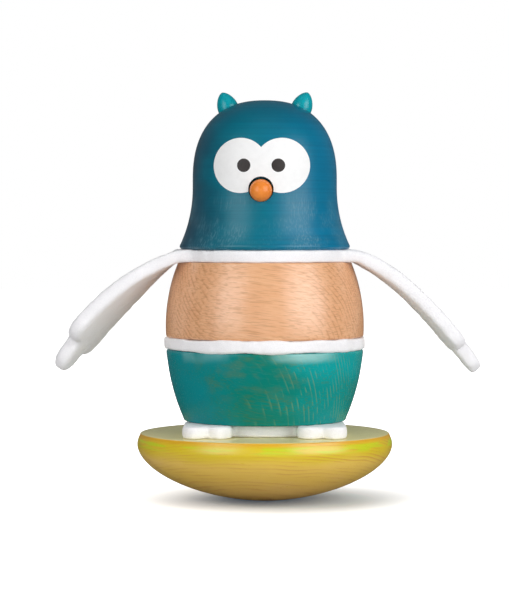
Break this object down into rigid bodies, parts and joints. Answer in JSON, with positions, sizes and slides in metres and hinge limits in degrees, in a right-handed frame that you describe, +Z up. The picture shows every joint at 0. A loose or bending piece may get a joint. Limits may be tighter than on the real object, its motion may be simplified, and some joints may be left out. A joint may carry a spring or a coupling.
{
  "type": "owl stacking rocker toy",
  "caption": "Wooden owl stacking toy on a domed rocking base: turned wooden body and head with white felt feet, belt and drooping wings threaded on a central spindle.",
  "frame": {"origin": "on the floor, under the middle of the base, where the toy rests upright", "axes": "+Z up along the spindle, the owl looks along -Y, and its wings reach out along -X and +X"},
  "size_m": [0.1738, 0.1046, 0.1667],
  "materials": {
    "yellow_stain": "satin stained",
    "beech": "natural satin",
    "teal_stain": "satin stained",
    "blue_stain": "satin stained",
    "turquoise_stain": "semi-gloss stained",
    "orange_stain": "satin painted",
    "felt": "soft matt",
    "white_print": "matt printed",
    "dark_print": "matt printed"
  },
  "bodies": {
    "rocker": {"rocker_base": "yellow_stain", "spindle": "beech"},
    "feet": {"feet_felt": "felt"},
    "lower_body": {"lower_body": "teal_stain"},
    "belt": {"belt_felt": "felt"},
    "belly": {"belly": "beech"},
    "wing_collar": {"wing_collar": "felt"},
    "left_wing": {"left_wing": "felt"},
    "right_wing": {"right_wing": "felt"},
    "head": {"head": "blue_stain", "left_ear": "turquoise_stain", "right_ear": "turquoise_stain", "beak": "orange_stain", "eye_print": "white_print", "left_pupil": "dark_print", "right_pupil": "dark_print"}
  },
  "joints": [
    {"name": "feet_lift", "type": "slide", "parent": "rocker", "child": "feet", "axis": [0, 0, 1], "range_m": [0, 0.12]},
    {"name": "lower_body_lift", "type": "slide", "parent": "feet", "child": "lower_body", "axis": [0, 0, 1], "range_m": [0, 0.115]},
    {"name": "belt_lift", "type": "slide", "parent": "lower_body", "child": "belt", "axis": [0, 0, 1], "range_m": [0, 0.085]},
    {"name": "belly_lift", "type": "slide", "parent": "belt", "child": "belly", "axis": [0, 0, 1], "range_m": [0, 0.08]},
    {"name": "wings_lift", "type": "slide", "parent": "belly", "child": "wing_collar", "axis": [0, 0, 1], "range_m": [0, 0.05]},
    {"name": "head_lift", "type": "slide", "parent": "wing_collar", "child": "head", "axis": [0, 0, 1], "range_m": [0, 0.045]},
    {"name": "left_wing_bend", "type": "hinge", "parent": "wing_collar", "child": "left_wing", "pos_m": [-0.0359, -0.00188, 0.10004], "axis": [-0.0523, 0.9986, 0], "range_deg": [-15, 45], "stiffness_Nm_per_rad": 0.05, "springref_deg": 0.92},
    {"name": "right_wing_bend", "type": "hinge", "parent": "wing_collar", "child": "right_wing", "pos_m": [0.0359, 0.00188, 0.10004], "axis": [0.0523, -0.9986, 0], "range_deg": [-15, 45], "stiffness_Nm_per_rad": 0.05, "springref_deg": 0.92}
  ]
}
